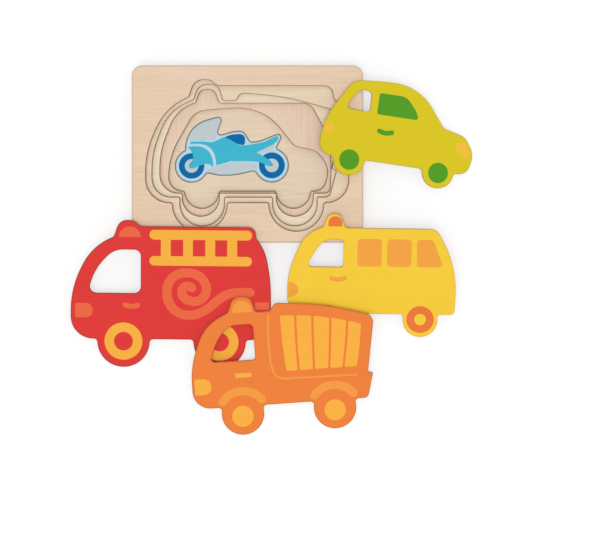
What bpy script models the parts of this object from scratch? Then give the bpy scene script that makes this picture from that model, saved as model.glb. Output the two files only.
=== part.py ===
"""Layered wooden vehicle puzzle: a tray of six glued plywood plates and five loose vehicles.

Each vehicle is sawn from one sheet and has a recess of its own outline, one plate deep. The
recesses are stacked, so the vehicles nest on top of each other with the largest one uppermost.
Here the motorcycle lies in its recess, and the other four lie around the tray: the fire truck,
the bus and the car lean on its top edge, and the dump truck lies over the fire truck and the bus.

Units are metres, +Z is up. The origin is the middle of the tray's underside. Every outline is
drawn in the nested position, with x along the vehicle and y up its side.
"""

import math

import bmesh
import bpy
from mathutils import Matrix, Vector

# Sheets and fits
PLATE_THICKNESS = 0.0030
PIECE_THICKNESS = 0.0030
GLUE_GAP = 0.0003
POCKET_CLEARANCE = 0.0008
RESTING_GAP = 0.0003
SANDED_EDGE = 0.0004

# Tray
SIDE_RIM = 0.0128
FRONT_RIM = 0.0105
TRAY_CORNER_RADIUS = 0.0095
TRAY_TOP_ROUND = 0.0015
TRAY_BASE_ROUND = 0.0008

# Facets
CHORD_ERROR = 0.00007
ROUND_STEPS = 3
LEAST_RADIUS = 0.0003
EDGE_SHARE = 0.99
SAMPLE_STEP = 0.0020
SMOOTH_ANGLE = math.radians(30)

# Corners are (x, y, radius). A vehicle's body runs anticlockwise from the right end of its sill,
# over the roof, to the left end of its sill, and the wheels hang below the sill.

FIRE_TRUCK_SILL = -0.0431
FIRE_TRUCK_ROOF = 0.0609
FIRE_TRUCK_LIGHT_TOP = 0.0664
FIRE_TRUCK_NOSE = -0.0912
FIRE_TRUCK_WHEEL_RADIUS = 0.0238
FIRE_TRUCK_WHEEL_ARCH = 0.0030
FIRE_TRUCK_AXLE_HEIGHT = -0.0452
FIRE_TRUCK_FRONT_AXLE = -0.0432
FIRE_TRUCK_REAR_AXLE = 0.0442
FIRE_TRUCK_BODY = (
    (0.0909, FIRE_TRUCK_SILL, 0.0195),
    (0.0905, 0.0098, 0.1400),
    (0.0853, 0.0391, 0.0450),
    (0.0768, 0.0508, 0.0025),
    (0.0758, FIRE_TRUCK_ROOF, 0.0070),
    (-0.0285, FIRE_TRUCK_ROOF, 0.0070),
    (-0.0335, FIRE_TRUCK_LIGHT_TOP, 0.0100),
    (-0.0470, FIRE_TRUCK_LIGHT_TOP, 0.0100),
    (-0.0522, 0.0510, 0.0040),
    (-0.0719, 0.0419, 0.0510),
    (FIRE_TRUCK_NOSE, 0.0040, 0.0870),
    (FIRE_TRUCK_NOSE, FIRE_TRUCK_SILL, 0.0205),
)
FIRE_TRUCK_WINDOW = (
    (-0.0276, -0.0008, 0.0060),
    (-0.0276, 0.0393, 0.0060),
    (-0.0515, 0.0393, 0.0190),
    (-0.0694, 0.0222, 0.0550),
    (-0.0756, -0.0008, 0.0060),
)

DUMP_TRUCK_SILL = -0.0380
DUMP_TRUCK_ROOF = 0.0474
DUMP_TRUCK_LIGHT_TOP = 0.0622
DUMP_TRUCK_NOSE = -0.0855
DUMP_TRUCK_WHEEL_RADIUS = 0.0193
DUMP_TRUCK_WHEEL_ARCH = 0.0030
DUMP_TRUCK_AXLE_HEIGHT = -0.0448
DUMP_TRUCK_FRONT_AXLE = -0.0411
DUMP_TRUCK_REAR_AXLE = 0.0429
DUMP_TRUCK_BODY = (
    (0.0735, DUMP_TRUCK_SILL, 0.0045),
    (0.0796, -0.0150, 0.0012),
    (0.0750, -0.0142, 0.0014),
    (0.0838, 0.0372, 0.0085),
    (0.0358, 0.0509, 0.2000),
    (-0.0055, 0.0545, 0.0050),
    (-0.0102, DUMP_TRUCK_ROOF, 0.0035),
    (-0.0233, DUMP_TRUCK_ROOF, 0.0030),
    (-0.0272, DUMP_TRUCK_LIGHT_TOP, 0.0080),
    (-0.0430, DUMP_TRUCK_LIGHT_TOP, 0.0085),
    (-0.0482, 0.0486, 0.0035),
    (-0.0706, 0.0381, 0.0400),
    (DUMP_TRUCK_NOSE, 0.0012, 0.0800),
    (DUMP_TRUCK_NOSE, DUMP_TRUCK_SILL, 0.0160),
)
DUMP_TRUCK_WINDOW = (
    (-0.0264, 0.0040, 0.0025),
    (-0.0264, 0.0368, 0.0040),
    (-0.0479, 0.0368, 0.0150),
    (-0.0593, 0.0254, 0.0450),
    (-0.0680, 0.0040, 0.0035),
)

BUS_SILL = -0.0343
BUS_ROOF = 0.0453
BUS_LIGHT_TOP = 0.0580
BUS_NOSE = -0.0785
BUS_WHEEL_RADIUS = 0.0158
BUS_WHEEL_ARCH = 0.0026
BUS_AXLE_HEIGHT = -0.0395
BUS_FRONT_AXLE = -0.0424
BUS_REAR_AXLE = 0.0428
BUS_BODY = (
    (0.0738, BUS_SILL, 0.0036),
    (0.0758, 0.0100, 0.0980),
    (0.0562, BUS_ROOF, 0.0104),
    (-0.0264, BUS_ROOF, 0.0041),
    (-0.0311, BUS_LIGHT_TOP, 0.0057),
    (-0.0419, BUS_LIGHT_TOP, 0.0062),
    (-0.0464, 0.0462, 0.0031),
    (-0.0640, 0.0388, 0.0330),
    (BUS_NOSE, 0.0019, 0.0780),
    (BUS_NOSE, BUS_SILL, 0.0155),
)
BUS_WINDOW = (
    (-0.0279, 0.0090, 0.0026),
    (-0.0279, 0.0348, 0.0031),
    (-0.0436, 0.0348, 0.0120),
    (-0.0523, 0.0261, 0.0450),
    (-0.0614, 0.0090, 0.0031),
)

CAR_SILL = -0.0324
CAR_ROOF = 0.0410
CAR_TAIL = -0.0706
CAR_WHEEL_RADIUS = 0.0147
CAR_WHEEL_ARCH = 0.0030
CAR_AXLE_HEIGHT = -0.0334
CAR_REAR_AXLE = -0.0416
CAR_FRONT_AXLE = 0.0416
CAR_BODY = (
    (0.0686, CAR_SILL, 0.0100),
    (0.0728, -0.0122, 0.0170),
    (0.0621, 0.0022, 0.0135),
    (0.0417, 0.0068, 0.0083),
    (0.0145, CAR_ROOF, 0.0465),
    (-0.0166, CAR_ROOF, 0.1550),
    (-0.0470, 0.0383, 0.0165),
    (CAR_TAIL, -0.0027, 0.0680),
    (CAR_TAIL, CAR_SILL, 0.0114),
)
CAR_WINDOW = (
    (-0.0286, 0.0116, 0.0021),
    (-0.0286, 0.0304, 0.0047),
    (-0.0398, 0.0304, 0.0070),
    (-0.0470, 0.0205, 0.0300),
    (-0.0515, 0.0116, 0.0032),
)

# The motorcycle's wheels are round corners of its outline
MOTORCYCLE_FRONT_WHEEL_RADIUS = 0.0144
MOTORCYCLE_REAR_WHEEL_RADIUS = 0.0148
MOTORCYCLE_OUTLINE = (
    (-0.0654, -0.0249, MOTORCYCLE_FRONT_WHEEL_RADIUS),
    (-0.0431, -0.0249, MOTORCYCLE_FRONT_WHEEL_RADIUS),
    (-0.0376, -0.0160, 0.0032),
    (-0.0255, -0.0186, 0.0200),
    (-0.0120, -0.0184, 0.0600),
    (0.0064, -0.0142, 0.0035),
    (0.0146, -0.0247, MOTORCYCLE_REAR_WHEEL_RADIUS),
    (0.0366, -0.0247, MOTORCYCLE_REAR_WHEEL_RADIUS),
    (0.0366, -0.0008, MOTORCYCLE_REAR_WHEEL_RADIUS),
    (0.0250, 0.0051, 0.0024),
    (0.0326, 0.0202, 0.0025),
    (0.0115, 0.0116, 0.0250),
    (0.0022, 0.0104, 0.0040),
    (-0.0042, 0.0206, 0.0050),
    (-0.0120, 0.0205, 0.0250),
    (-0.0298, 0.0155, 0.0034),
    (-0.0229, 0.0348, 0.0026),
    (-0.0560, 0.0253, 0.0260),
    (-0.0560, 0.0032, 0.0020),
    (-0.0654, -0.0020, MOTORCYCLE_FRONT_WHEEL_RADIUS),
)

# Where the loose vehicles lie. The standoff is from the tray's edge to the line where the vehicle
# touches the table, and across is measured along that edge from the tray's middle.
FIRE_TRUCK_STANDOFF = 0.1132
FIRE_TRUCK_ACROSS = -0.0693
FIRE_TRUCK_TURN = math.radians(-0.6)
BUS_STANDOFF = 0.0850
BUS_ACROSS = 0.1145
BUS_TURN = math.radians(-0.8)
DUMP_TRUCK_STANDOFF = 0.1713
DUMP_TRUCK_ACROSS = 0.0380
DUMP_TRUCK_TURN = math.radians(4.0)
CAR_STANDOFF = 0.0988
CAR_ACROSS = 0.0225
CAR_TURN = math.radians(-8.0)

# Finish, colours in linear RGB
WOOD_ROUGHNESS = 0.6
RED = (0.78, 0.048, 0.051)
ORANGE = (0.87, 0.22, 0.051)
YELLOW = (0.93, 0.62, 0.042)
LIME = (0.69, 0.60, 0.021)
PALE_BLUE = (0.58, 0.68, 0.77)
BEIGE_PLY = (0.79, 0.61, 0.45)
CREAM_PLY = (0.83, 0.72, 0.51)


def arc(centre, radius, start, sweep, drawn_radius):
    """Points along an arc. The drawn radius sets how many, so that grown outlines keep their count."""
    step = 2 * math.acos(1 - CHORD_ERROR / max(drawn_radius, LEAST_RADIUS))
    count = max(2, math.ceil(abs(sweep) / step))
    angles = [start + sweep * i / count for i in range(count + 1)]
    return [centre + radius * Vector((math.cos(a), math.sin(a))) for a in angles]


def turns_of(corners):
    """[point, outward angle before, turn, radius] of each corner, with radii that fit their edges."""
    points = [Vector(corner[:2]) for corner in corners]
    edges = [points[(i + 1) % len(points)] - point for i, point in enumerate(points)]
    turns = []
    for i, (point, corner) in enumerate(zip(points, corners)):
        before, after = edges[i - 1], edges[i]
        turn = math.atan2(before.x * after.y - before.y * after.x, before.dot(after))
        turns.append([point, math.atan2(-before.x, before.y), turn, corner[2]])
    tangents = [radius * math.tan(abs(turn) / 2) for _, _, turn, radius in turns]
    for i, corner in enumerate(turns):
        following = (i + 1) % len(turns)
        for edge, other in ((edges[i - 1], i - 1), (edges[i], following)):
            needed = tangents[i] + tangents[other]
            if needed > EDGE_SHARE * edge.length:
                corner[3] = min(corner[3], corners[i][2] * EDGE_SHARE * edge.length / needed)
    return turns


def rounded(corners, grow=0.0):
    """A closed anticlockwise outline with rounded corners, moved outwards by grow.

    A corner of radius zero isn't drawn: it only marks how far its neighbours may reach.
    """
    outline = []
    for point, outward, turn, radius in turns_of(corners):
        if not radius:
            continue
        side = math.copysign(1, turn)
        first = Vector((math.cos(outward), math.sin(outward)))
        second = Vector((math.cos(outward + turn), math.sin(outward + turn)))
        centre = point - side * radius * (first + second) / (1 + first.dot(second))
        start = outward if side > 0 else outward + math.pi
        outline += arc(centre, max(radius + side * grow, LEAST_RADIUS), start, turn, radius)
    return outline


def wheel_lobe(axle, radius, arch, sill, grow):
    """A wheel below the sill, from left to right, with a small arch where it meets the sill."""
    arch_height = sill - arch
    rise = axle.y - arch_height
    spread = math.sqrt((radius + arch) ** 2 - rise**2)
    dip = math.atan2(rise, spread)
    quarter = math.pi / 2
    left = Vector((axle.x - spread, arch_height))
    right = Vector((axle.x + spread, arch_height))
    arch_reach = max(arch - grow, LEAST_RADIUS)
    return (
        arc(left, arch_reach, quarter, dip - quarter, arch)[:-1]
        + arc(axle, radius + grow, math.pi + dip, math.pi - 2 * dip, radius)
        + arc(right, arch_reach, math.pi - dip, dip - quarter, arch)[1:]
    )


def vehicle(body, left_axle, right_axle, axle_height, radius, arch, grow):
    """A vehicle's outline: its body, then the two wheels along its sill."""
    sill = body[0][1]
    axles = (Vector((left_axle, axle_height)), Vector((right_axle, axle_height)))
    lobes = [wheel_lobe(axle, radius, arch, sill, grow) for axle in axles]
    sill_stops = [(lobes[0][0].x, sill, 0.0), (lobes[1][-1].x, sill, 0.0)]
    return rounded((*body, *sill_stops), grow) + lobes[0] + lobes[1]


def fire_truck_outline(grow=0.0):
    return vehicle(
        FIRE_TRUCK_BODY,
        FIRE_TRUCK_FRONT_AXLE,
        FIRE_TRUCK_REAR_AXLE,
        FIRE_TRUCK_AXLE_HEIGHT,
        FIRE_TRUCK_WHEEL_RADIUS,
        FIRE_TRUCK_WHEEL_ARCH,
        grow,
    )


def dump_truck_outline(grow=0.0):
    return vehicle(
        DUMP_TRUCK_BODY,
        DUMP_TRUCK_FRONT_AXLE,
        DUMP_TRUCK_REAR_AXLE,
        DUMP_TRUCK_AXLE_HEIGHT,
        DUMP_TRUCK_WHEEL_RADIUS,
        DUMP_TRUCK_WHEEL_ARCH,
        grow,
    )


def bus_outline(grow=0.0):
    return vehicle(
        BUS_BODY,
        BUS_FRONT_AXLE,
        BUS_REAR_AXLE,
        BUS_AXLE_HEIGHT,
        BUS_WHEEL_RADIUS,
        BUS_WHEEL_ARCH,
        grow,
    )


def car_outline(grow=0.0):
    return vehicle(
        CAR_BODY,
        CAR_REAR_AXLE,
        CAR_FRONT_AXLE,
        CAR_AXLE_HEIGHT,
        CAR_WHEEL_RADIUS,
        CAR_WHEEL_ARCH,
        grow,
    )


def motorcycle_outline(grow=0.0):
    return rounded(MOTORCYCLE_OUTLINE, grow)


def pocket_reach(axis):
    """How far the largest pocket reaches from the tray's middle, along x or y."""
    return max(abs(point[axis]) for point in fire_truck_outline(POCKET_CLEARANCE))


TRAY_HALF_LENGTH = pocket_reach(0) + SIDE_RIM
TRAY_HALF_WIDTH = pocket_reach(1) + FRONT_RIM
PLATE_PITCH = PLATE_THICKNESS + GLUE_GAP


def tray_outline(grow=0.0):
    signs = ((-1, -1), (1, -1), (1, 1), (-1, 1))
    corners = [(x * TRAY_HALF_LENGTH, y * TRAY_HALF_WIDTH, TRAY_CORNER_RADIUS) for x, y in signs]
    return rounded(corners, grow)


def quarter_round(radius):
    """(grow, height) steps of a rounded top edge, measured from where the round begins."""
    angles = [math.pi / 2 * i / ROUND_STEPS for i in range(ROUND_STEPS + 1)]
    return [(radius * (math.cos(a) - 1), radius * math.sin(a)) for a in angles]


def top_plate_levels():
    start = PLATE_THICKNESS - TRAY_TOP_ROUND
    return [(0.0, 0.0)] + [(grow, start + rise) for grow, rise in quarter_round(TRAY_TOP_ROUND)]


def base_board_levels():
    steps = quarter_round(TRAY_BASE_ROUND)
    return [(grow, TRAY_BASE_ROUND - rise) for grow, rise in reversed(steps)] + [(0.0, PLATE_THICKNESS)]


def plain_levels(thickness):
    return [(0.0, 0.0), (0.0, thickness)]


def sanded_levels(side):
    """A loose piece's edge, with its corners sanded off. Side is 1 on the outline and -1 in a hole."""
    inset = -side * SANDED_EDGE
    return [
        (inset, 0.0),
        (0.0, SANDED_EDGE),
        (0.0, PIECE_THICKNESS - SANDED_EDGE),
        (inset, PIECE_THICKNESS),
    ]


def material(name, colour, roughness):
    made = bpy.data.materials.new(name)
    made.use_nodes = True
    shader = made.node_tree.nodes["Principled BSDF"]
    shader.inputs["Base Color"].default_value = (*colour, 1.0)
    shader.inputs["Roughness"].default_value = roughness
    shader.inputs["Metallic"].default_value = 0.0
    return made


def skin(bm, outline, levels):
    """The wall along an outline, one ring of points for each (grow, height). Returns its end rings."""
    rings = [[bm.verts.new((*point, height)) for point in outline(grow)] for grow, height in levels]
    for low, high in zip(rings, rings[1:]):
        for i in range(len(low)):
            bm.faces.new((low[i - 1], low[i], high[i], high[i - 1]))
    return rings[0], rings[-1]


def sheet(name, colour, walls):
    """One sawn sheet. Walls are (outline, levels), the outside first and then any holes."""
    bm = bmesh.new()
    ends = [skin(bm, outline, levels) for outline, levels in walls]
    for rings in zip(*ends):
        edges = [bm.edges.get((ring[i - 1], ring[i])) for ring in rings for i in range(len(ring))]
        bmesh.ops.triangle_fill(bm, use_beauty=True, edges=edges)
    bmesh.ops.recalc_face_normals(bm, faces=bm.faces)
    mesh = bpy.data.meshes.new(name)
    bm.to_mesh(mesh)
    bm.free()
    mesh.shade_smooth()
    mesh.set_sharp_from_angle(angle=SMOOTH_ANGLE)
    mesh.materials.append(material(name, colour, WOOD_ROUGHNESS))
    made = bpy.data.objects.new(name, mesh)
    bpy.context.scene.collection.objects.link(made)
    return made


def piece(name, colour, outline, window=None):
    """A loose vehicle, with a finger hole where its cab window is."""
    walls = [(outline, sanded_levels(1))]
    if window:
        walls.append((lambda grow: rounded(window, grow), sanded_levels(-1)))
    return sheet(name, colour, walls)


def turned(point, angle):
    return Matrix.Rotation(angle, 2) @ point


def sampled(points):
    """A closed run of points, with more along its straight stretches."""
    found = []
    for before, after in zip(points[-1:] + points[:-1], points):
        count = max(1, math.ceil((after - before).length / SAMPLE_STEP))
        found += [before.lerp(after, (i + 1) / count) for i in range(count)]
    return found


def inside(point, outline):
    crossings = 0
    for before, after in zip(outline[-1:] + outline[:-1], outline):
        if (before.y > point.y) != (after.y > point.y):
            share = (point.y - before.y) / (after.y - before.y)
            crossings += before.x + share * (after.x - before.x) > point.x
    return crossings % 2 == 1


def tray_rim():
    """Points along the rounded top edge of the tray."""
    base = (len(PLATES) - 1) * PLATE_PITCH
    rim = []
    for grow, height in top_plate_levels():
        rim += [Vector((*point, base + height)) for point in sampled(tray_outline(grow))]
    return rim


class Lean:
    """A loose sheet whose low edge touches the table and which leans on what lies under it.

    Touch is where it meets the table, uphill is the turn from +Y to the way it rises, and spin turns
    it in its own plane. The least tilt that clears everything under it is the one it settles at.
    """

    def __init__(self, outline, touch, uphill, spin):
        self.outline = outline
        self.touch = Vector(touch)
        self.uphill = uphill
        self.spin = spin
        flat = [turned(point, spin) for point in outline(-SANDED_EDGE)]
        self.low = min(point.y for point in flat)
        self.plan = [point - Vector((0, self.low)) for point in flat]
        self.tilt = 0.0

    def rest_on(self, supports):
        for support in supports:
            below = turned(support.xy - self.touch, -self.uphill)
            if inside(below, self.plan):
                self.tilt = max(self.tilt, math.atan2(support.z + RESTING_GAP, below.y))

    def placement(self):
        return (
            Matrix.Translation((*self.touch, 0.0))
            @ Matrix.Rotation(self.uphill, 4, "Z")
            @ Matrix.Rotation(self.tilt, 4, "X")
            @ Matrix.Translation((0.0, -self.low, 0.0))
            @ Matrix.Rotation(self.spin, 4, "Z")
        )

    def top_under(self, upper):
        """Points of this sheet's top face, along its own edge and below the edge of another sheet."""
        place = self.placement()
        edge = [place @ Vector((*point, PIECE_THICKNESS)) for point in sampled(self.outline())]
        plan = [point.xy for point in edge]
        normal = place.col[2].xyz
        for point in sampled([upper.touch + turned(point, upper.uphill) for point in upper.plan]):
            if inside(point, plan):
                slope = normal.xy.dot(point - plan[0]) / normal.z
                edge.append(Vector((*point, edge[0].z - slope)))
        return edge


PLATES = (
    ("base_board", CREAM_PLY, None),
    ("motorcycle_plate", BEIGE_PLY, motorcycle_outline),
    ("car_plate", CREAM_PLY, car_outline),
    ("bus_plate", BEIGE_PLY, bus_outline),
    ("dump_truck_plate", CREAM_PLY, dump_truck_outline),
    ("fire_truck_plate", BEIGE_PLY, fire_truck_outline),
)


def build_tray():
    """Six plates glued into one tray, each with the pocket of its own vehicle."""
    tray = bpy.data.objects.new("tray", None)
    bpy.context.scene.collection.objects.link(tray)
    for level, (name, colour, outline) in enumerate(PLATES):
        levels = plain_levels(PLATE_THICKNESS)
        if level == 0:
            levels = base_board_levels()
        elif level == len(PLATES) - 1:
            levels = top_plate_levels()
        walls = [(tray_outline, levels)]
        if outline:
            pocket = lambda grow, cut=outline: cut(POCKET_CLEARANCE + grow)
            walls.append((pocket, plain_levels(PLATE_THICKNESS)))
        plate = sheet(name, colour, walls)
        plate.parent = tray
        plate.location.z = level * PLATE_PITCH


def build_pieces():
    """The motorcycle in its pocket, and the other vehicles lying around the tray."""
    front = -TRAY_HALF_WIDTH
    right = TRAY_HALF_LENGTH
    motorcycle = piece("motorcycle", PALE_BLUE, motorcycle_outline)
    motorcycle.location.z = PLATE_PITCH

    fire_truck = Lean(
        fire_truck_outline, (FIRE_TRUCK_ACROSS, front - FIRE_TRUCK_STANDOFF), 0.0, FIRE_TRUCK_TURN
    )
    bus = Lean(bus_outline, (BUS_ACROSS, front - BUS_STANDOFF), 0.0, BUS_TURN)
    car = Lean(car_outline, (right + CAR_STANDOFF, CAR_ACROSS), math.pi / 2, CAR_TURN - math.pi / 2)
    for lean in (fire_truck, bus, car):
        lean.rest_on(tray_rim())
    dump_truck = Lean(
        dump_truck_outline, (DUMP_TRUCK_ACROSS, front - DUMP_TRUCK_STANDOFF), DUMP_TRUCK_TURN, 0.0
    )
    for lower in (fire_truck, bus):
        dump_truck.rest_on(lower.top_under(dump_truck))

    for name, colour, lean, window in (
        ("fire_truck", RED, fire_truck, FIRE_TRUCK_WINDOW),
        ("bus", YELLOW, bus, BUS_WINDOW),
        ("car", LIME, car, CAR_WINDOW),
        ("dump_truck", ORANGE, dump_truck, DUMP_TRUCK_WINDOW),
    ):
        piece(name, colour, lean.outline, window).matrix_world = lean.placement()


for old in list(bpy.data.objects):
    bpy.data.objects.remove(old)
build_tray()
build_pieces()
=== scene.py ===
import math

import bmesh
import bpy
from mathutils import Matrix, Vector


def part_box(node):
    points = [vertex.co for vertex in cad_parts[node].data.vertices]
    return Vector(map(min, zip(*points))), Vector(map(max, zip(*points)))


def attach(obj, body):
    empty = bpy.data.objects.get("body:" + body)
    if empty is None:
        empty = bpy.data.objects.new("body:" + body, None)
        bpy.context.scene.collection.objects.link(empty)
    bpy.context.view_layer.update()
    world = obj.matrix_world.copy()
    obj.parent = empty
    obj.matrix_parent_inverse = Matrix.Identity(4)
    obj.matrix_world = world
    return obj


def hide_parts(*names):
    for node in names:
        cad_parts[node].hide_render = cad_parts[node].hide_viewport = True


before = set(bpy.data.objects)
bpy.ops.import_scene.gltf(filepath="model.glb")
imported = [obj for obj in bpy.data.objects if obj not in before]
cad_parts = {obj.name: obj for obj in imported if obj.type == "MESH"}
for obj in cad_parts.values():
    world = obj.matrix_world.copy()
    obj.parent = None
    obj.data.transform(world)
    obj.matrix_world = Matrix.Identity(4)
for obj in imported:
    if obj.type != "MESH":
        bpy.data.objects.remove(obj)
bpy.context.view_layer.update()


# Tray plates. A plain bottom board and five plates with a vehicle's outline cut out, all of 3 mm
# birch plywood: two pale face veneers over a darker core. The cutter scorches the rim and the wall
# of each recess, and painted shade darkens the rim more at the front of a recess than at the back.
# The plates are glued into one block whose outside is sanded.
MM = 0.001
PLY = 3.0 * MM
TRAY_PLATES = {
    # name: (pale veneer, dark veneer, turn of the grain, width of the scorched rim, which also carries
    # painted shade)
    "base_board": ("E4CFB6", "DBC3A9", 0.0, 0.30 * MM),
    "motorcycle_plate": ("E9D6BD", "DFC9AF", 0.0, 0.10 * MM),
    "car_plate": ("EBD2BA", "E0C3AA", math.radians(90), 0.80 * MM),
    "bus_plate": ("F0E0C6", "E7D4B6", 0.0, 0.80 * MM),
    "dump_truck_plate": ("EAD7BA", "E0CAAB", 0.0, 0.80 * MM),
    "fire_truck_plate": ("E9CEB4", "DFC2A7", 0.0, 0.80 * MM),
}
MIX_FACTOR, MIX_FIRST, MIX_SECOND, MIX_RESULT = 0, 6, 7, 2


def colour(code):
    """The linear colour of a six-digit hex code."""
    channels = [int(code[i : i + 2], 16) / 255 for i in (0, 2, 4)]
    return (*[c / 12.92 if c <= 0.04045 else ((c + 0.055) / 1.055) ** 2.4 for c in channels], 1.0)


def feed(tree, socket, value):
    """Sets a socket to a value, or links it to another node's output."""
    if isinstance(value, bpy.types.NodeSocket):
        tree.links.new(value, socket)
    else:
        socket.default_value = value


def shade(tree, kind, settings=None, **sockets):
    """Adds a shader node, with each named socket set to a value or linked. Returns its first output."""
    made = tree.nodes.new("ShaderNode" + kind)
    for key, value in (settings or {}).items():
        setattr(made, key, value)
    for key, value in sockets.items():
        feed(tree, made.inputs[key.replace("_", " ")], value)
    return made.outputs[0]


def mixed(tree, factor, first, second):
    """A colour from the first, at a factor of 0, to the second, at 1."""
    made = tree.nodes.new("ShaderNodeMix")
    made.data_type = "RGBA"
    for index, value in ((MIX_FACTOR, factor), (MIX_FIRST, first), (MIX_SECOND, second)):
        feed(tree, made.inputs[index], value)
    return made.outputs[MIX_RESULT]


def summed(tree, first, second):
    """Two values added."""
    made = tree.nodes.new("ShaderNodeMath")
    feed(tree, made.inputs[0], first)
    feed(tree, made.inputs[1], second)
    return made.outputs[0]


def ranged(tree, value, span, result=(0.0, 1.0)):
    """A value's span stretched to the result, and held at its ends outside that span."""
    return shade(
        tree,
        "MapRange",
        Value=value,
        From_Min=span[0],
        From_Max=span[1],
        To_Min=result[0],
        To_Max=result[1],
    )


def object_coords(tree):
    """The object's own coordinates."""
    return tree.nodes.new("ShaderNodeTexCoord").outputs["Object"]


def sheet_coords(tree, place):
    """Coordinates in a sheet's own frame, with z through its thickness."""
    return shade(
        tree,
        "Mapping",
        {"vector_type": "TEXTURE"},
        Vector=object_coords(tree),
        Location=place.to_translation(),
        Rotation=place.to_euler(),
    )


def noise(tree, coords, waves, detail):
    """Clouds with that many waves to the metre."""
    return shade(tree, "TexNoise", Vector=coords, Scale=waves, Detail=detail)


GRAIN_WAVES = (
    # waves to the metre along the grain and across it, and detail
    (7.0, 120.0, 2.0),
    (35.0, 800.0, 3.0),
    (240.0, 3600.0, 2.0),
)
NOISE_SPAN = (0.3, 0.7)
FIGURE_SPAN = (0.75, 1.25)


def fibres(tree, coords, seed):
    """Broad bands, fibres and pores of a veneer whose grain runs along x, each about 0.3 to 0.7."""
    patterns = []
    for along, across, detail in GRAIN_WAVES:
        drawn = shade(tree, "Mapping", Vector=coords, Scale=(along, across, across))
        patterns.append(
            shade(
                tree,
                "TexNoise",
                {"noise_dimensions": "4D"},
                Vector=drawn,
                W=seed,
                Scale=1.0,
                Detail=detail,
            )
        )
    return patterns


def new_material(name):
    """A new material, its node tree and its shader."""
    made = bpy.data.materials.new(name)
    made.use_nodes = True
    return made, made.node_tree, made.node_tree.nodes["Principled BSDF"]


def surface(tree, shader, tone, fibre, grain, roughness, gloss, relief, depth):
    """Joins up a shader: its tone, a roughness that follows the fibres, and the relief of the grain."""
    feed(tree, shader.inputs["Base Color"], tone)
    feed(tree, shader.inputs["Roughness"], ranged(tree, fibre, NOISE_SPAN, roughness))
    shader.inputs["Specular IOR Level"].default_value = gloss
    bumps = shade(tree, "Bump", Strength=relief, Distance=depth, Height=grain)
    feed(tree, shader.inputs["Normal"], bumps)


BAND_CONTRAST = (0.25, 0.75)
PORE_BROWN = "A98662"
PORE_SPAN = (0.58, 0.74)
PORE_COVER = 0.16
# The scorch brown also paints the shade along the front of each tray recess.
SCORCH_AND_SHADE_BROWN = "6B4526"
SCORCH_AND_SHADE_SPAN = (0.0, 0.5)
SCORCH_AND_SHADE_COVER = 0.95
VENEER_FEEL = dict(roughness=(0.52, 0.68), gloss=0.3, relief=0.3, depth=0.05 * MM)


def veneer(name, pale, dark, place, seed):
    """Bare sanded veneer, browned where the mesh's scorch_and_shade attribute says so: cutter scorch,
    with painted shade.
    """
    made, tree, wood = new_material(name)
    bands, fibre, pore = fibres(tree, sheet_coords(tree, place), seed)
    softened = ranged(tree, bands, (0.0, 1.0), BAND_CONTRAST)
    figure = ranged(tree, summed(tree, softened, fibre), FIGURE_SPAN)
    tone = mixed(tree, figure, colour(pale), colour(dark))
    pores = ranged(tree, pore, PORE_SPAN, (0.0, PORE_COVER))
    grained = mixed(tree, pores, tone, colour(PORE_BROWN))
    # The attribute holds the cutter's scorch. On the tray plates it also holds painted shade.
    scorch_and_shade = tree.nodes.new("ShaderNodeAttribute")
    scorch_and_shade.attribute_name = "scorch_and_shade"
    burn = ranged(tree, scorch_and_shade.outputs["Fac"], SCORCH_AND_SHADE_SPAN, (0.0, SCORCH_AND_SHADE_COVER))
    scorched = mixed(tree, burn, grained, colour(SCORCH_AND_SHADE_BROWN))
    surface(tree, wood, scorched, fibre, summed(tree, fibre, pore), **VENEER_FEEL)
    return made


EDGE_PALE = "E8D0B6"
CORE_BROWN = "C9A680"
GLUE_BROWN = "9A7650"
PLIES = (
    # share of the thickness, and the colour there
    (0.30, EDGE_PALE),
    (0.335, GLUE_BROWN),
    (0.37, CORE_BROWN),
    (0.63, CORE_BROWN),
    (0.665, GLUE_BROWN),
    (0.70, EDGE_PALE),
)
END_GRAIN = dict(waves=2600.0, detail=2.0)
FLECK_SPAN = (0.5, 0.75)
FLECK_COVER = 0.2
CUTTER_HEAT = dict(waves=90.0, detail=3.0)
LEAST_HEAT = 0.75
SAWN_FEEL = dict(roughness=(0.65, 0.8), gloss=0.25, relief=0.35, depth=0.06 * MM)


def ply_edge(name, place, seed, browned):
    """The sawn edge of a sheet: two veneers, two glue lines and the core, browned by the cutter."""
    made, tree, wood = new_material(name)
    coords = sheet_coords(tree, place)
    apart = tree.nodes.new("ShaderNodeSeparateXYZ")
    feed(tree, apart.inputs["Vector"], coords)
    plies = tree.nodes.new("ShaderNodeValToRGB")
    feed(tree, plies.inputs["Fac"], ranged(tree, apart.outputs["Z"], (0.0, PLY)))
    stops = plies.color_ramp.elements
    for outer in stops:
        outer.color = colour(EDGE_PALE)
    for share, code in PLIES:
        stops.new(share).color = colour(code)
    _, fibre, pore = fibres(tree, coords, seed)
    ends = noise(tree, coords, **END_GRAIN)
    flecks = ranged(tree, ends, FLECK_SPAN, (0.0, FLECK_COVER))
    flecked = mixed(tree, flecks, plies.outputs["Color"], colour(GLUE_BROWN))
    heat = noise(tree, coords, **CUTTER_HEAT)
    burn = ranged(tree, heat, NOISE_SPAN, (LEAST_HEAT * browned, browned))
    scorched = mixed(tree, burn, flecked, colour(SCORCH_AND_SHADE_BROWN))
    surface(tree, wood, scorched, fibre, summed(tree, ends, pore), **SAWN_FEEL)
    return made


MERGE = 0.01 * MM
FLAT_ANGLE = math.radians(0.5)
CREASE_ANGLE = math.radians(30)
ARRIS_STEPS = 2


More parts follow.
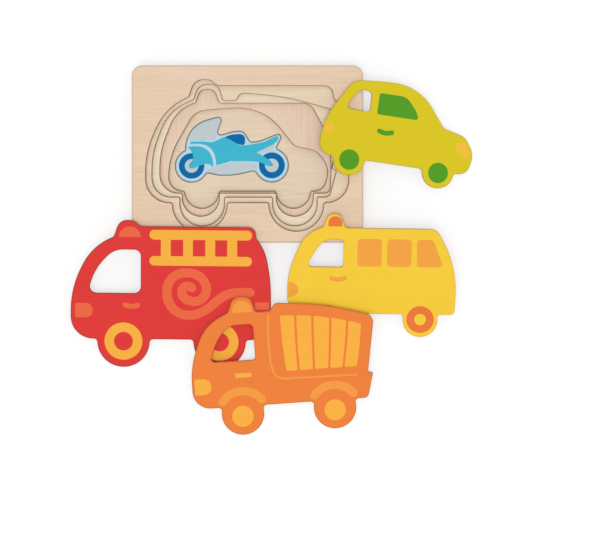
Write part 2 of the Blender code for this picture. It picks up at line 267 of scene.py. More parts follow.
def node_copy(node):
    """A CAD node's mesh to work on, with its triangles joined into whole faces."""
    bm = bmesh.new()
    bm.from_mesh(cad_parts[node].data)
    bmesh.ops.remove_doubles(bm, verts=bm.verts, dist=MERGE)
    bmesh.ops.dissolve_limit(bm, angle_limit=FLAT_ANGLE, verts=bm.verts, edges=bm.edges)
    bm.normal_update()
    return bm


def sharp_edges(bm):
    """The arrises of a sheet, where two faces meet at a crease."""
    return [edge for edge in bm.edges if edge.is_manifold and edge.calc_face_angle() > CREASE_ANGLE]


def ease(bm, arrises, width):
    """Rounds arrises as fine sandpaper does."""
    bmesh.ops.bevel(
        bm,
        geom=arrises,
        affect="EDGES",
        offset=width,
        segments=ARRIS_STEPS,
        profile=0.5,
        material=-1,
        clamp_overlap=True,
    )
    bm.normal_update()


def rim_band(bm, faces, width):
    """Parts off a band of that width along the outline of some faces. Returns the band's faces."""
    inset = bmesh.ops.inset_region(
        bm, faces=faces, thickness=width, use_boundary=True, use_even_offset=True
    )
    bm.normal_update()
    return inset["faces"]


def made_piece(name, bm, materials):
    """A piece at the origin with its place in its mesh, smooth but for its creases."""
    mesh = bpy.data.meshes.new(name)
    bm.to_mesh(mesh)
    bm.free()
    mesh.shade_smooth()
    mesh.set_sharp_from_angle(angle=CREASE_ANGLE)
    for finish in materials:
        mesh.materials.append(finish)
    piece = bpy.data.objects.new(name, mesh)
    bpy.context.scene.collection.objects.link(piece)
    return piece


LEVEL = 0.999
SAWN_ARRIS = 0.12 * MM
RECESS_MARGIN = 8.0 * MM
# A recess rim's scorch, and the painted shade that darkens it along the front of the recess.
SCORCH_MEAN = 1.2
PAINTED_SHADE_DRIFT = 0.8
SANDED_BROWNING = 0.10
RECESS_BROWNING = 0.72
PLATE_SEED_STEP = 3.7
FACE, OUTSIDE, RECESS_WALL = range(3)


def in_recess(vert, low, high):
    """True for a point of a plate that is nearer to its recess than to its outside."""
    return all(low[i] + RECESS_MARGIN < vert.co[i] < high[i] - RECESS_MARGIN for i in (0, 1))


def tray_plate(node, seed):
    """One plate of the tray. Its recess rim is scorched, and painted shade makes it darker at the front
    of the recess than at the back.
    """
    low, high = (Vector(corner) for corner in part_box(node))
    pale, dark, turn, rim = TRAY_PLATES[node]
    place = Matrix.Translation((0, 0, low.z))
    face_place = place @ Matrix.Rotation(turn, 4, "Z")
    bm = node_copy(node)
    top_edges = [e for e in sharp_edges(bm) if all(v.co.z > high.z - MERGE for v in e.verts)]
    ease(bm, top_edges, SAWN_ARRIS)
    rim_band(bm, [face for face in bm.faces if face.normal.z > LEVEL], rim)
    scorch_and_shade = bm.verts.layers.float.new("scorch_and_shade")
    for face in bm.faces:
        if abs(face.normal.z) > LEVEL:
            face.material_index = FACE
            continue
        inside = all(in_recess(vert, low, high) for vert in face.verts)
        face.material_index = RECESS_WALL if inside else OUTSIDE
        # Heat is the cutter's scorch plus painted shade: more along the front of a recess, less along its
        # back.
        heat = SCORCH_MEAN + PAINTED_SHADE_DRIFT * face.normal.xy.normalized().y if inside else 0.0
        for vert in face.verts:
            vert[scorch_and_shade] = heat
    finishes = [
        veneer(node + "_veneer_with_painted_shade", pale, dark, face_place, seed),
        ply_edge(node + "_sanded_edge", place, seed, SANDED_BROWNING),
        ply_edge(node + "_recess_wall", place, seed, RECESS_BROWNING),
    ]
    plate = made_piece("tray_" + node, bm, finishes)
    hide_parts(node)
    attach(plate, "tray")


for level, plate_name in enumerate(TRAY_PLATES):
    tray_plate(plate_name, PLATE_SEED_STEP * level)


# Glue lines. A thin film of white wood glue, dried clear amber, holds each plate to the one below.
# It stops a little short of every edge, so the joints show as fine shadow lines.
GLUE_SETBACK = 0.22 * MM
GLUE_SLACK = 0.01 * MM
GLUE_AMBER = "B08A5C"
GLUE_CLOUDS = dict(waves=300.0, detail=2.0)
GLUE_ROUGHNESS = (0.35, 0.6)
glue, glue_tree, glue_shader = new_material("dried_wood_glue")
clouds = noise(glue_tree, object_coords(glue_tree), **GLUE_CLOUDS)
glue_tone = mixed(glue_tree, clouds, colour(GLUE_AMBER), colour(GLUE_BROWN))
feed(glue_tree, glue_shader.inputs["Base Color"], glue_tone)
feed(glue_tree, glue_shader.inputs["Roughness"], ranged(glue_tree, clouds, NOISE_SPAN, GLUE_ROUGHNESS))


def thicken(bm, height):
    """Gives flat faces a height, straight up."""
    grown = bmesh.ops.extrude_face_region(bm, geom=bm.faces[:])
    raised = [item for item in grown["geom"] if isinstance(item, bmesh.types.BMVert)]
    bmesh.ops.translate(bm, verts=raised, vec=(0, 0, height))
    bmesh.ops.recalc_face_normals(bm, faces=bm.faces)


def glue_line(lower, upper):
    """The film between two plates, with the outline of the upper one."""
    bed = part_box(lower)[1][2]
    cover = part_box(upper)[0][2]
    bm = node_copy(upper)
    not_under = [face for face in bm.faces if face.normal.z >= -LEVEL]
    bmesh.ops.delete(bm, geom=not_under, context="FACES")
    bmesh.ops.delete(bm, geom=rim_band(bm, bm.faces[:], GLUE_SETBACK), context="FACES")
    bmesh.ops.translate(bm, verts=bm.verts, vec=(0, 0, bed + GLUE_SLACK - cover))
    thicken(bm, cover - bed - 2 * GLUE_SLACK)
    film = made_piece("glue_under_" + upper, bm, [glue])
    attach(film, "tray")


plate_order = list(TRAY_PLATES)
for lower_plate, upper_plate in zip(plate_order, plate_order[1:]):
    glue_line(lower_plate, upper_plate)


# Motorcycle. The smallest loose piece: the same plywood with a smooth coat of pale blue on its face,
# printed with grey panels, a dark blue seat and tyres, and cyan bodywork. Its edge and back are bare.
# Prints are drawn in millimetres, in the frame that the piece's outline was drawn in.
MOTORCYCLE_BLUE = "BADAEB"
SMOKE_GREY = "C0CCD0"
CYAN = "3FB6D0"
SEAT_BLUE = "0069A6"
MOTORCYCLE_HUB = 6.2
MOTORCYCLE_WHEELS = (
    # x and y of the axle, and the radius of the tyre
    (-51.0, -10.5, 11.6),
    (22.0, -10.0, 11.8),
)
# In these outlines (x, y) is a point on a smooth stretch, and (x, y, 0) is a sharp corner.
WINDSHIELD = (
    (-54.1, 12.6, 0), (-52.8, 16.2), (-48.8, 22.2), (-43.4, 26.8), (-37.0, 29.8),
    (-30.0, 31.8), (-27.4, 32.4), (-25.7, 31.6), (-25.9, 29.3), (-28.3, 22.4),
    (-28.6, 20.2), (-27.2, 16.8, 0), (-31.0, 12.8), (-37.0, 12.6),
)
BELLY_PAN = (
    (-37.4, -13.0, 0), (-33.4, -12.8), (-29.0, -11.2), (-21.0, -8.6), (-14.0, -7.0),
    (0.0, -7.0), (8.8, -8.0, 0), (8.2, -11.0), (8.6, -14.8, 0), (6.8, -14.0),
    (4.1, -13.8), (-5.8, -16.1), (-12.0, -17.2), (-20.0, -17.7), (-27.4, -17.1),
    (-35.2, -15.6), (-37.2, -15.6, 0),
)
UNDER_TAIL = (
    (8.0, 1.6, 0), (17.0, 5.8), (24.6, 9.8), (23.0, 5.0), (24.2, 2.6, 0),
    (17.0, 2.6), (12.6, 0.4), (11.0, -0.6),
)
SEAT = (
    (-21.0, 15.5, 0), (-17.0, 17.3), (-10.0, 18.4), (-5.6, 18.2), (-3.0, 16.2),
    (-2.4, 12.5), (-3.4, 8.8), (-6.0, 8.6),
)
BODYWORK = (
    (-52.0, 11.5, 0), (-40.0, 11.6), (-33.0, 11.2), (-27.0, 13.2), (-21.6, 16.0, 0),
    (-14.0, 12.3), (-6.6, 8.2), (-3.2, 8.2), (5.0, 9.4), (15.0, 11.5),
    (24.0, 15.5), (27.4, 16.2), (27.9, 14.2), (25.5, 11.0), (17.0, 6.0),
    (8.0, 1.8, 0), (14.0, -1.6), (22.5, -8.2), (22.8, -10.2), (20.8, -10.9),
    (12.0, -7.5), (0.0, -6.2), (-13.6, -6.4, 0), (-14.4, -5.8, 0), (-22.0, -8.2),
    (-28.6, -10.0, 0), (-29.2, -4.0), (-31.4, 2.4), (-36.0, 7.2), (-43.0, 9.4),
    (-52.0, 9.2, 0),
)
FRONT_MUDGUARD = (
    (-54.4, 6.8, 0), (-47.0, 7.4), (-39.6, 5.8), (-34.4, 1.2), (-31.8, -5.6),
    (-31.4, -12.0, 0), (-34.8, -9.2), (-38.5, -8.6, 0), (-44.6, -10.6), (-49.6, -12.7),
    (-53.2, -11.8), (-53.0, -8.6), (-50.0, -5.0), (-49.8, -1.0), (-51.2, 2.6),
)
NEARLY_UP = 0.9


def lying(node, spin, left, top):
    """Where a loose piece lies: the matrix from its own drawing to the row frame.

    The drawing's left end and highest point are given. Its tilt is read from the CAD node.
    """
    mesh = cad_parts[node].data
    face = max((f for f in mesh.polygons if f.normal.z > NEARLY_UP), key=lambda f: f.area)
    uphill = math.atan2(face.normal.x, -face.normal.y)
    tilt = math.atan2(face.normal.xy.length, face.normal.z)
    lean = Matrix.Rotation(uphill, 4, "Z") @ Matrix.Rotation(tilt, 4, "X")
    turn = lean @ Matrix.Rotation(spin, 4, "Z")
    own = [turn.transposed() @ vert.co for vert in mesh.vertices]
    leftmost = min(point.x for point in own)
    highest = max(point.y for point in own)
    back = min(point.z for point in own)
    return Matrix.Translation(turn @ Vector((leftmost - left, highest - top, back))) @ turn


CHAR_BROWN = "4E3524"
STREAK_LIGHT = 1.012
STREAK_DARK = 0.98
COAT_PORE_DARK = 0.7
COAT_PORE_SPAN = (0.60, 0.78)
COAT_PORE_COVER = 0.08
COAT_FEEL = dict(roughness=(0.42, 0.56), gloss=0.05, relief=0.18, depth=0.03 * MM)


def paint(name, code, place, seed, browned=0.0):
    """A smooth coat on wood: faint streaks of the grain below, and a fine uneven sheen."""
    made, tree, coat = new_material(name)
    bands, fibre, pore = fibres(tree, sheet_coords(tree, place), seed)
    base = Vector(colour(code)[:3]).lerp(Vector(colour(CHAR_BROWN)[:3]), browned)
    light, dark, deep = ((*(base * tone), 1.0) for tone in (STREAK_LIGHT, STREAK_DARK, COAT_PORE_DARK))
    figure = ranged(tree, summed(tree, bands, fibre), FIGURE_SPAN)
    streaked = mixed(tree, figure, light, dark)
    pores = ranged(tree, pore, COAT_PORE_SPAN, (0.0, COAT_PORE_COVER))
    pitted = mixed(tree, pores, streaked, deep)
    surface(tree, coat, pitted, fibre, summed(tree, fibre, pore), **COAT_FEEL)
    return made


PIECE_ARRIS = 0.10 * MM
BROWNED_BAND = 0.30 * MM
BACK_PALE = "EBD3BA"
BACK_DARK = "DDC1A4"
SAWN_BROWNING = 0.22
SLANTED = 0.5
COAT, SAWN_EDGE, BACK, BROWNED_RIM = range(4)


def side_finish(rise):
    """Which finish a face of a loose piece has, by how far it looks up from the piece's own plane."""
    if rise > LEVEL:
        return COAT
    if rise > SLANTED:
        return BROWNED_RIM
    return BACK if rise < -SLANTED else SAWN_EDGE


def painted_piece(node, place, code, seed, browned):
    """A loose vehicle with its coat, its browned rim, its bare sawn edge and its bare back."""
    bm = node_copy(node)
    own_up = place.col[2].xyz
    for face in bm.faces:
        face.material_index = side_finish(face.normal.dot(own_up))
    ease(bm, sharp_edges(bm), PIECE_ARRIS)
    coat = [face for face in bm.faces if face.normal.dot(own_up) > LEVEL]
    for face in rim_band(bm, coat, BROWNED_BAND):
        face.material_index = BROWNED_RIM
    finishes = [
        paint(node + "_coat", code, place, seed),
        ply_edge(node + "_sawn_edge", place, seed, SAWN_BROWNING),
        veneer(node + "_bare_back", BACK_PALE, BACK_DARK, place, seed),
        paint(node + "_browned_rim", code, place, seed, browned),
    ]
    piece = made_piece(node + "_piece", bm, finishes)
    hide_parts(node)
    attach(piece, node)


CURVE_STEPS = 10
CORNER_STEPS = 8
DISC_STEPS = 72
DRAWN_MERGE = MERGE / 10


def round_ends(bm):
    """Closes each open end of a band with a half disc."""
    for edge in [e for e in bm.edges if all(len(vert.link_edges) == 2 for vert in e.verts)]:
        first, last = edge.verts
        middle = (first.co + last.co) / 2
        outward = middle - edge.link_faces[0].calc_center_median()
        side = math.copysign(1, (first.co - middle).cross(outward).z)
        before = set(bm.edges)
        swept = bmesh.ops.spin(
            bm,
            geom=[first],
            cent=middle,
            axis=(0, 0, 1),
            angle=side * math.pi,
            steps=CORNER_STEPS,
            use_duplicate=False,
        )
        tip = next(item for item in swept["geom_last"] if isinstance(item, bmesh.types.BMVert))
        bmesh.ops.weld_verts(bm, targetmap={tip: last})
        rim = [e for e in bm.edges if e not in before]
        bmesh.ops.edgeloop_fill(bm, edges=rim + [edge])


def add_curve(bm, points, width=None):
    """Adds a drawn shape: a closed outline, or a round-ended band of that width along the points."""
    drawn = bpy.data.curves.new("drawn", "CURVE")
    drawn.dimensions = "3D" if width else "2D"
    drawn.fill_mode = "FULL" if width else "BOTH"
    drawn.resolution_u = CURVE_STEPS
    line = drawn.splines.new("BEZIER")
    line.use_cyclic_u = not width
    line.bezier_points.add(len(points) - 1)
    for knot, point in zip(line.bezier_points, points):
        knot.co = (point[0] * MM, point[1] * MM, 0.0)
        knot.handle_left_type = knot.handle_right_type = "VECTOR" if len(point) > 2 else "AUTO"
        knot.tilt = math.pi / 2 if width else 0.0
    if width:
        drawn.twist_mode = "Z_UP"
        drawn.extrude = width / 2 * MM
    holder = bpy.data.objects.new("drawn", drawn)
    bpy.context.scene.collection.objects.link(holder)
    bpy.context.view_layer.update()
    mesh = bpy.data.meshes.new_from_object(holder.evaluated_get(bpy.context.evaluated_depsgraph_get()))
    part = bmesh.new()
    part.from_mesh(mesh)
    bmesh.ops.remove_doubles(part, verts=part.verts, dist=DRAWN_MERGE)
    if width:
        round_ends(part)
    part.to_mesh(mesh)
    part.free()
    bm.from_mesh(mesh)
    bpy.data.objects.remove(holder)
    bpy.data.curves.remove(drawn)
    bpy.data.meshes.remove(mesh)


def add_disc(bm, x, y, radius, hole=0.0):
    """Adds a disc, or a ring where it has a hole."""
    round_edge = dict(segments=DISC_STEPS, matrix=Matrix.Translation((x * MM, y * MM, 0.0)))
    rim = bmesh.ops.create_circle(bm, cap_ends=not hole, radius=radius * MM, **round_edge)
    if hole:
        inner = bmesh.ops.create_circle(bm, radius=hole * MM, **round_edge)
        loops = [edge for vert in rim["verts"] + inner["verts"] for edge in vert.link_edges]
        bmesh.ops.bridge_loops(bm, edges=list(dict.fromkeys(loops)))


INK = 0.04 * MM
INK_STEP = 0.02 * MM
INK_SUNK = 0.02 * MM


def printed(bm, name, node, place, code, seed, layer=0):
    """Turns flat shapes into a film of ink on a vehicle's face. A later layer stands a little higher."""
    bmesh.ops.recalc_face_normals(bm, faces=bm.faces)
    thicken(bm, INK_SUNK + INK + layer * INK_STEP)
    bm.transform(place @ Matrix.Translation((0, 0, PLY - INK_SUNK)))
    film = made_piece(name, bm, [paint(name + "_ink", code, place, seed)])
    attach(film, node)


motorcycle = lying("motorcycle", spin=0.0, left=-65.4 * MM, top=33.47 * MM)
painted_piece("motorcycle", motorcycle, MOTORCYCLE_BLUE, seed=1.3, browned=0.10)

panels = bmesh.new()
for outline in (WINDSHIELD, BELLY_PAN, UNDER_TAIL):
    add_curve(panels, outline)
for axle_x, axle_y, _ in MOTORCYCLE_WHEELS:
    add_disc(panels, axle_x, axle_y, MOTORCYCLE_HUB)
printed(panels, "motorcycle_grey_panels", "motorcycle", motorcycle, SMOKE_GREY, seed=1.4)

tyres = bmesh.new()
for axle_x, axle_y, tyre in MOTORCYCLE_WHEELS:
    add_disc(tyres, axle_x, axle_y, tyre, hole=MOTORCYCLE_HUB)
add_curve(tyres, SEAT)
printed(tyres, "motorcycle_seat_and_tyres", "motorcycle", motorcycle, SEAT_BLUE, seed=1.5, layer=1)

bodywork = bmesh.new()
add_curve(bodywork, BODYWORK)
add_curve(bodywork, FRONT_MUDGUARD)
printed(bodywork, "motorcycle_bodywork", "motorcycle", motorcycle, CYAN, seed=1.6, layer=2)


# Car. A loose piece in lime with its rear window cut right through as a finger hold. The side
# window, the door handle and the wheels are printed green, and the lamps amber.
CAR_LIME = "DCC724"
LEAF_GREEN = "549D26"
LAMP_AMBER = "F2C03C"
CAR_WINDOW = (
    # x, y and radius of each corner
    (-21.8, 10.5, 2.0), (17.6, 10.5, 2.5), (14.0, 18.4, 14.0), (3.6, 30.0, 11.0), (-21.8, 30.0, 2.5),
)
CAR_HEADLAMP = (
    (54.5, -7.1), (57.6, -3.6), (62.0, -3.2), (65.7, -7.4),
    (68.6, -13.3), (67.1, -17.5), (62.0, -15.7), (56.5, -11.8),
)
CAR_HANDLE = dict(x=-11.7, y=-4.2, span=11.6, flat=4.6, width=4.4)
CAR_TAIL_LAMP = dict(left=-68.0, bottom=-13.0, right=-58.5, top=-4.0, radius=0.5, right_radius=4.4)
CAR_AXLES = (-41.5, 41.8)
CAR_AXLE_HEIGHT = -34.0
CAR_WHEEL = 9.25
HANDLE_DIP = 1.0


def add_panel(bm, corners):
    """Adds a flat panel. Its corners are (x, y, radius)."""
    verts = [bm.verts.new((x * MM, y * MM, 0.0)) for x, y, _ in corners]
    bm.faces.new(verts)
    for i, (vert, (_, _, radius)) in enumerate(zip(verts, corners)):
        before = Vector(corners[i - 1][:2]) - Vector(corners[i][:2])
        after = Vector(corners[(i + 1) % len(corners)][:2]) - Vector(corners[i][:2])
        if radius:
            bmesh.ops.bevel(
                bm,
                geom=[vert],
                affect="VERTICES",
                offset=radius * MM / math.tan(before.angle(after) / 2),
                segments=CORNER_STEPS,
                profile=0.5,
                material=-1,
            )


def add_bar(bm, left, bottom, right, top, radius, right_radius=None):
    """Adds an upright panel. The corners of its right end may have a radius of their own."""
    ending = radius if right_radius is None else right_radius
    add_panel(
        bm, ((left, bottom, radius), (right, bottom, ending), (right, top, ending), (left, top, radius))
    )


def add_handle(bm, x, y, span, flat, width):
    """Adds a door handle: a round-ended band whose flat middle lies a little lower than its ends."""
    low = y - HANDLE_DIP
    add_curve(
        bm, ((x - span / 2, y), (x - flat / 2, low), (x + flat / 2, low), (x + span / 2, y)), width=width
    )


car = lying("car", spin=math.radians(-98.0), left=-70.6 * MM, top=41.0 * MM)
painted_piece("car", car, CAR_LIME, seed=2.3, browned=0.14)

car_green = bmesh.new()
add_panel(car_green, CAR_WINDOW)
add_handle(car_green, **CAR_HANDLE)
for axle in CAR_AXLES:
    add_disc(car_green, axle, CAR_AXLE_HEIGHT, CAR_WHEEL)
printed(car_green, "car_window_handle_wheels", "car", car, LEAF_GREEN, seed=2.4)

car_lamps = bmesh.new()
add_bar(car_lamps, **CAR_TAIL_LAMP)
add_curve(car_lamps, CAR_HEADLAMP)
printed(car_lamps, "car_lamps", "car", car, LAMP_AMBER, seed=2.5)


# Bus. A loose piece in yellow with its windscreen cut right through as a finger hold. Three side
# windows, the door handle and the headlamp are printed orange, the roof lamp and wheels red-orange.
BUS_YELLOW = "F6CC3C"
WINDOW_ORANGE = "F3A443"
RED_ORANGE = "ED783D"
BUS_WINDOWS = ((-15.2, 6.8), (11.8, 33.8))
BUS_SILL = 10.0
BUS_WINDOW_TOP = 35.5
BUS_WINDOW_CORNER = 3.0
BUS_REAR_WINDOW = (
    (38.7, BUS_SILL, BUS_WINDOW_CORNER),
    (62.8, BUS_SILL, BUS_WINDOW_CORNER),
    (53.4, BUS_WINDOW_TOP, 5.0),
    (38.7, BUS_WINDOW_TOP, BUS_WINDOW_CORNER),
)
BUS_HANDLE = dict(x=-32.3, y=-1.3, span=12.0, flat=4.6, width=4.1)
BUS_HEADLAMP = dict(x=-77.4, y=-12.4, width=14.4, height=9.2, turn=math.radians(-90))
BUS_ROOF_LAMP = ((-41.9, 46.8, 0.0), (-29.3, 46.8, 0.0), (-29.3, 56.2, 6.2), (-41.9, 56.2, 6.2))
BUS_AXLES = (-42.4, 42.8)
BUS_AXLE_HEIGHT = -38.8
BUS_WHEEL = 12.5
BUS_HUB = 5.3


def add_dome(bm, x, y, width, height, turn=0.0):
    """Adds half an ellipse. Its flat foot is centred on x, y and turned anticlockwise."""
    upright = Matrix.Rotation(turn, 4, "Z")
    foot = Matrix.Translation((x * MM, y * MM, 0.0)) @ upright
    shape = foot @ Matrix.Diagonal((width / 2 * MM, height * MM, 1.0, 1.0))
    disc = bmesh.ops.create_circle(bm, cap_ends=True, segments=DISC_STEPS, radius=1.0, matrix=shape)
    linked = [item for vert in disc["verts"] for item in (*vert.link_edges, *vert.link_faces)]
    bmesh.ops.bisect_plane(
        bm,
        geom=disc["verts"] + list(dict.fromkeys(linked)),
        dist=DRAWN_MERGE,
        plane_co=foot.to_translation(),
        plane_no=upright @ Vector((0.0, 1.0, 0.0)),
        clear_inner=True,
    )


bus = lying("bus", spin=math.radians(-0.8), left=-78.5 * MM, top=58.0 * MM)
painted_piece("bus", bus, BUS_YELLOW, seed=3.3, browned=0.14)

bus_orange = bmesh.new()
for left, right in BUS_WINDOWS:
    add_bar(bus_orange, left, BUS_SILL, right, BUS_WINDOW_TOP, BUS_WINDOW_CORNER)
add_panel(bus_orange, BUS_REAR_WINDOW)
add_handle(bus_orange, **BUS_HANDLE)
add_dome(bus_orange, **BUS_HEADLAMP)
printed(bus_orange, "bus_windows_handle_headlamp", "bus", bus, WINDOW_ORANGE, seed=3.4)

bus_red = bmesh.new()
add_panel(bus_red, BUS_ROOF_LAMP)
for axle in BUS_AXLES:
    add_disc(bus_red, axle, BUS_AXLE_HEIGHT, BUS_WHEEL, hole=BUS_HUB)
printed(bus_red, "bus_lamp_and_wheels", "bus", bus, RED_ORANGE, seed=3.5)


# Fire truck. The largest loose piece, in red, with its windscreen cut right through as a finger
# hold. The ladder and wheel rings are printed amber, and the lamps, handle and coiled hose coral.
TRUCK_RED = "DF3B38"
TRUCK_AMBER = "F6B141"
CORAL = "EC6843"
LADDER_ENDS = (-19.8, 73.0)
LADDER_RAILS = ((25.0, 33.8), (48.8, 57.8))
LADDER_RUNGS = ((-9.5, -0.5), (10.7, 19.5), (30.7, 39.7), (50.6, 59.6))
RAIL_END_FLAT = 0.1
FIRE_TRUCK_ROOF_LAMP = dict(x=-37.5, y=51.0, width=19.8, height=9.6)
FIRE_TRUCK_HEADLAMP = dict(left=-87.0, bottom=-23.3, right=-71.3, top=-10.0, radius=0.6, right_radius=6.2)
FIRE_TRUCK_TAIL_LAMP = dict(left=76.0, bottom=-15.0, right=89.0, top=-8.0, radius=1.0)
FIRE_TRUCK_HANDLE = dict(x=-36.0, y=-11.6, span=11.2, flat=4.8, width=4.6)
FIRE_TRUCK_AXLES = (-43.2, 44.2)
FIRE_TRUCK_AXLE_HEIGHT = -45.0
FIRE_TRUCK_WHEEL = 17.2
FIRE_TRUCK_HUB = 8.6
HOSE_WIDTH = 8.4
HOSE = (
    # from its free end, round the outside of the coil, to the middle
    (71.5, 0.9), (60.4, 0.9), (51.4, -0.9), (43.5, -5.5), (35.7, -12.3), (26.6, -18.1),
    (17.1, -20.4), (6.4, -18.1), (-1.0, -10.6), (-3.8, 0.3), (-1.0, 11.2), (6.4, 17.2),
    (14.8, 18.6), (23.3, 16.8), (29.5, 11.2), (32.0, 3.8), (29.8, -3.1), (24.4, -7.2),
    (17.4, -7.2), (11.8, -4.2), (9.7, 0.9), (11.6, 5.2), (15.6, 6.2), (18.6, 4.9),
)
fire_truck = lying("fire_truck", spin=math.radians(-0.6), left=-91.2 * MM, top=66.4 * MM)
painted_piece("fire_truck", fire_truck, TRUCK_RED, seed=4.3, browned=0.55)

ladder = bmesh.new()
for bottom, top in LADDER_RAILS:
    add_bar(ladder, LADDER_ENDS[0], bottom, LADDER_ENDS[1], top, (top - bottom - RAIL_END_FLAT) / 2)
for left, right in LADDER_RUNGS:
    add_bar(ladder, left, LADDER_RAILS[0][1], right, LADDER_RAILS[1][0], 0.0)
for axle in FIRE_TRUCK_AXLES:
    add_disc(ladder, axle, FIRE_TRUCK_AXLE_HEIGHT, FIRE_TRUCK_WHEEL, hole=FIRE_TRUCK_HUB)
printed(ladder, "fire_truck_ladder_and_wheels", "fire_truck", fire_truck, TRUCK_AMBER, seed=4.4)

hose = bmesh.new()
add_curve(hose, HOSE, width=HOSE_WIDTH)
add_dome(hose, **FIRE_TRUCK_ROOF_LAMP)
add_bar(hose, **FIRE_TRUCK_HEADLAMP)
add_handle(hose, **FIRE_TRUCK_HANDLE)
add_bar(hose, **FIRE_TRUCK_TAIL_LAMP)
printed(hose, "fire_truck_hose_lamps_handle", "fire_truck", fire_truck, CORAL, seed=4.5)


# Dump truck. A loose piece in orange with its windscreen cut right through as a finger hold. The
# slats of its bed, the handle, the headlamp and the hubs are printed amber, and the roof lamp, the
# line round the bed and the mudguards a lighter orange.
DUMP_ORANGE = "EF813B"
SLAT_AMBER = "FAB142"
LIGHT_ORANGE = "F59C43"
SLAT_FOOT = -8.3
SLAT_GAP = 2.1
SLAT_CORNER = 1.4
SLAT_BOW_RADIUS = 300.0
SLAT_SIDES = (
    # foot, middle and top of each side, and the height of its top
    (0.0, -2.0, -2.4, 42.9),
    (12.3, 11.8, 12.4, 42.2),
    (26.3, 26.9, 28.0, 40.6),
    (40.0, 42.4, 44.2, 37.8),
    (53.0, 56.9, 59.4, 34.0),
    (66.2, 70.3, 72.6, 30.0),
)
DUMP_TRUCK_HANDLE = dict(left=-45.5, bottom=-11.5, right=-31.0, top=-7.5, radius=1.0)
DUMP_TRUCK_HEADLAMP = dict(left=-83.0, bottom=-25.0, right=-68.0, top=-10.5, radius=0.6, right_radius=6.8)
DUMP_TRUCK_ROOF_LAMP = dict(x=-35.3, y=48.0, width=18.8, height=10.9)
HUB_AXLES = (-41.3, 42.8)
HUB_HEIGHT = -47.0
DUMP_TRUCK_HUB = 9.7
MUDGUARD_CENTRES = (-41.0, 42.7)
MUDGUARD = dict(y=-46.5, radius=22.6, width=7.6, start=math.radians(38.0), end=math.radians(142.0))
BED_LINE_WIDTH = 1.8
BED_LINE = (
    (-11.8, 43.4), (-13.2, 30.0), (-13.0, 10.0), (-11.6, -5.0), (-8.6, -11.6),
    (-2.6, -14.8), (8.0, -15.2), (36.0, -15.6), (65.0, -16.0),
)


def add_arc(bm, x, y, radius, width, start, end):
    """Adds a round-ended band along an arc."""
    part = bmesh.new()
    heading = Vector((math.cos(start), math.sin(start), 0.0))
    centre = Vector((x * MM, y * MM, 0.0))
    ends = [part.verts.new(centre + heading * (radius + half) * MM) for half in (-width / 2, width / 2)]
    edge = part.edges.new(ends)
    bmesh.ops.spin(
        part,
        geom=[*ends, edge],
        cent=centre,
        axis=(0, 0, 1),
        angle=end - start,
        steps=DISC_STEPS // 2,
        use_duplicate=False,
    )
    round_ends(part)
    mesh = bpy.data.meshes.new("arc")
    part.to_mesh(mesh)
    part.free()
    bm.from_mesh(mesh)
    bpy.data.meshes.remove(mesh)


dump_truck = lying("dump_truck", spin=0.0, left=-85.5 * MM, top=62.2 * MM)
painted_piece("dump_truck", dump_truck, DUMP_ORANGE, seed=5.3, browned=0.32)

slats = bmesh.new()
for left, right in zip(SLAT_SIDES, SLAT_SIDES[1:]):
    left_foot, left_middle, left_top = (x + SLAT_GAP / 2 for x in left[:3])
    right_foot, right_middle, right_top = (x - SLAT_GAP / 2 for x in right[:3])
    add_panel(
        slats,
        (
            (left_foot, SLAT_FOOT, SLAT_CORNER),
            (right_foot, SLAT_FOOT, SLAT_CORNER),
            (right_middle, (SLAT_FOOT + right[3]) / 2, SLAT_BOW_RADIUS),
            (right_top, right[3], SLAT_CORNER),
            (left_top, left[3], SLAT_CORNER),
            (left_middle, (SLAT_FOOT + left[3]) / 2, SLAT_BOW_RADIUS),
        ),
    )
add_bar(slats, **DUMP_TRUCK_HANDLE)
add_bar(slats, **DUMP_TRUCK_HEADLAMP)
for axle in HUB_AXLES:
    add_disc(slats, axle, HUB_HEIGHT, DUMP_TRUCK_HUB)
printed(slats, "dump_truck_slats_hubs_headlamp", "dump_truck", dump_truck, SLAT_AMBER, seed=5.4)

trim = bmesh.new()
add_dome(trim, **DUMP_TRUCK_ROOF_LAMP)
add_curve(trim, BED_LINE, width=BED_LINE_WIDTH)
for centre_x in MUDGUARD_CENTRES:
    add_arc(trim, centre_x, **MUDGUARD)
printed(trim, "dump_truck_lamp_and_mudguards", "dump_truck", dump_truck, LIGHT_ORANGE, seed=5.5)


# Table, light and camera. A white studio table seen from straight above, under one large soft lamp
# and an even white room. The camera stands far off, as the photo's long lens did.
TABLE_WHITE = 0.46
TABLE_LIFT = 0.57
TABLE_ROUGHNESS = 0.9
TABLE_SIZE = 6.0
TABLE_DROP = 0.05 * MM
WHITE = (1.0, 1.0, 1.0, 1.0)
ROOM_STRENGTH = 0.64
LAMP_SPREAD = math.radians(33)
LAMP_FROM = Vector((-0.1, -0.35, 2.4))
LAMP_SHARE = 0.36
VIEW_DISTANCE = 3.0
PHOTO_WIDTH = 600
PHOTO_HEIGHT = 540
MM_PER_PIXEL = 0.9056
TRAY_CENTRE_PIXEL = (247.45, 153.85)


def seen_strength(tree, lighting, looking):
    """One strength for the light on the scene, and another for what the camera looks at."""
    rays = tree.nodes.new("ShaderNodeLightPath").outputs
    mirrored = summed(tree, rays["Is Glossy Ray"], rays["Is Transmission Ray"])
    seen = summed(tree, rays["Is Camera Ray"], mirrored)
    return ranged(tree, seen, (0.0, 1.0), (lighting, looking))


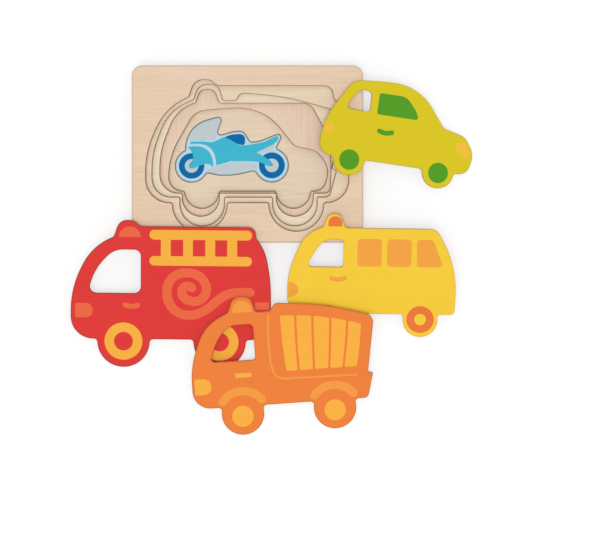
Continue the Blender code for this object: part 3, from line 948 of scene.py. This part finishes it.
table_bm = bmesh.new()
bmesh.ops.create_grid(
    table_bm,
    x_segments=1,
    y_segments=1,
    size=TABLE_SIZE / 2,
    matrix=Matrix.Translation((0, 0, -TABLE_DROP)),
)
table_paint, table_tree, table_shader = new_material("white_table")
table_shader.inputs["Base Color"].default_value = (TABLE_WHITE, TABLE_WHITE, TABLE_WHITE, 1.0)
table_shader.inputs["Roughness"].default_value = TABLE_ROUGHNESS
table_shader.inputs["Specular IOR Level"].default_value = 0.0
table_shader.inputs["Emission Color"].default_value = WHITE
feed(table_tree, table_shader.inputs["Emission Strength"], seen_strength(table_tree, 0.0, TABLE_LIFT))
table = made_piece("table", table_bm, [table_paint])

scene = bpy.context.scene
scene.view_settings.view_transform = "Standard"
scene.world = bpy.data.worlds.new("white_room")
scene.world.use_nodes = True
room_tree = scene.world.node_tree
room = room_tree.nodes["Background"].inputs
room["Color"].default_value = WHITE
feed(room_tree, room["Strength"], seen_strength(room_tree, ROOM_STRENGTH, 1.0))

# The lamp gives a level white surface its share of full white. Only its direction counts.
lamp_data = bpy.data.lights.new("soft_lamp", "SUN")
lamp_data.angle = LAMP_SPREAD
lamp_data.energy = LAMP_SHARE * math.pi * LAMP_FROM.length / LAMP_FROM.z
lamp = bpy.data.objects.new("soft_lamp", lamp_data)
lamp.location = LAMP_FROM
lamp.rotation_euler = (-LAMP_FROM).to_track_quat("-Z", "Y").to_euler()
scene.collection.objects.link(lamp)

tray_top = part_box("fire_truck_plate")[1][2]
camera_data = bpy.data.cameras.new("camera")
camera_data.lens = camera_data.sensor_width * VIEW_DISTANCE / (PHOTO_WIDTH * MM_PER_PIXEL * MM)
camera = bpy.data.objects.new("camera", camera_data)
camera.location = (
    (PHOTO_WIDTH / 2 - TRAY_CENTRE_PIXEL[0]) * MM_PER_PIXEL * MM,
    (TRAY_CENTRE_PIXEL[1] - PHOTO_HEIGHT / 2) * MM_PER_PIXEL * MM,
    tray_top + VIEW_DISTANCE,
)
scene.collection.objects.link(camera)
scene.camera = camera
